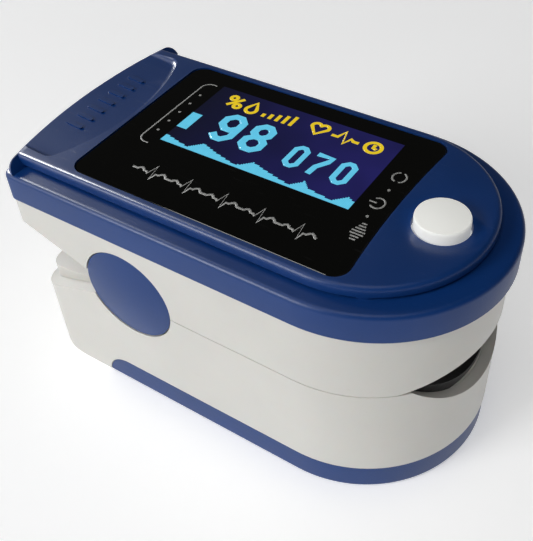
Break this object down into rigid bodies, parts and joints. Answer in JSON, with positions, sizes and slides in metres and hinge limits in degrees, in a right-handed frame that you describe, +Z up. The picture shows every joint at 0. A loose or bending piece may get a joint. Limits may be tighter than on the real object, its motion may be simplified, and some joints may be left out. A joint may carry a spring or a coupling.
{
  "type": "fingertip pulse oximeter",
  "caption": "Fingertip pulse oximeter: two sprung jaws on a cross pin, a window with a screen on top, a push button, and a sliding battery door underneath.",
  "frame": {"origin": "middle of the flat bottom, at table height", "axes": "+X runs from the thumb end to the finger mouth, -Y is the side with the near pivot cap, +Z is up"},
  "size_m": [0.057, 0.0316, 0.0325],
  "materials": {
    "blue_plastic": "moulded, semi-gloss",
    "white_plastic": "moulded, satin",
    "black_window": "polished",
    "screen_glass": "polished",
    "black_plastic": "matte",
    "ribbon_film": "satin film",
    "board_laminate": "solder mask",
    "chip_epoxy": "matte",
    "ceramic_chip": "matte",
    "ivory_plastic": "matte",
    "tinned_metal": "satin",
    "steel": "turned",
    "spring_steel": "drawn wire",
    "dark_rubber": "soft matte",
    "clear_plastic": "polished, clear",
    "cell_jacket": "printed film over metal",
    "contact_nickel": "nickel plated"
  },
  "bodies": {
    "lower_jaw": {"lower_shell": "white_plastic", "lower_finger_pad": "dark_rubber", "sensor_board": "board_laminate", "photodiode": "chip_epoxy", "sensor_window": "clear_plastic", "sensor_ribbon": "ribbon_film", "near_battery": "cell_jacket", "far_battery": "cell_jacket", "bridge_contact": "contact_nickel", "positive_contact": "contact_nickel", "negative_contact": "contact_nickel", "hinge_pin": "steel", "near_torsion_spring": "spring_steel", "far_torsion_spring": "spring_steel", "near_pivot_cap": "blue_plastic", "far_pivot_cap": "blue_plastic"},
    "upper_jaw": {"top_cover": "blue_plastic", "display_window": "black_window", "display_panel": "screen_glass", "display_frame": "black_plastic", "display_ribbon": "ribbon_film", "main_board": "board_laminate", "processor_chip": "chip_epoxy", "signal_chip": "chip_epoxy", "clock_crystal": "tinned_metal", "board_components": "ceramic_chip", "ribbon_socket": "ivory_plastic", "board_screws": "steel", "switch_body": "black_plastic", "upper_shell": "white_plastic", "upper_finger_pad": "dark_rubber", "emitter_board": "board_laminate", "emitter_led": "clear_plastic", "emitter_window": "clear_plastic", "cover_screws": "steel"},
    "button": {"button_cap": "white_plastic", "switch_plunger": "ivory_plastic"},
    "battery_door": {"battery_door": "blue_plastic"}
  },
  "joints": [
    {"name": "jaw_hinge", "type": "hinge", "parent": "lower_jaw", "child": "upper_jaw", "pos_m": [-0.0106, 0, 0.0179], "axis": [0, -1, 0], "range_deg": [0, 25], "stiffness_Nm_per_rad": 0.15, "springref_deg": -34.38, "deforming": ["near_torsion_spring", "far_torsion_spring", "sensor_ribbon"]},
    {"name": "button_press", "type": "slide", "parent": "upper_jaw", "child": "button", "axis": [0, 0, -1], "range_m": [0, 0.0004], "stiffness_N_per_m": 1200, "springref_m": -0.001},
    {"name": "battery_door_slide", "type": "slide", "parent": "lower_jaw", "child": "battery_door", "axis": [1, 0, 0], "range_m": [0, 0.025]}
  ]
}
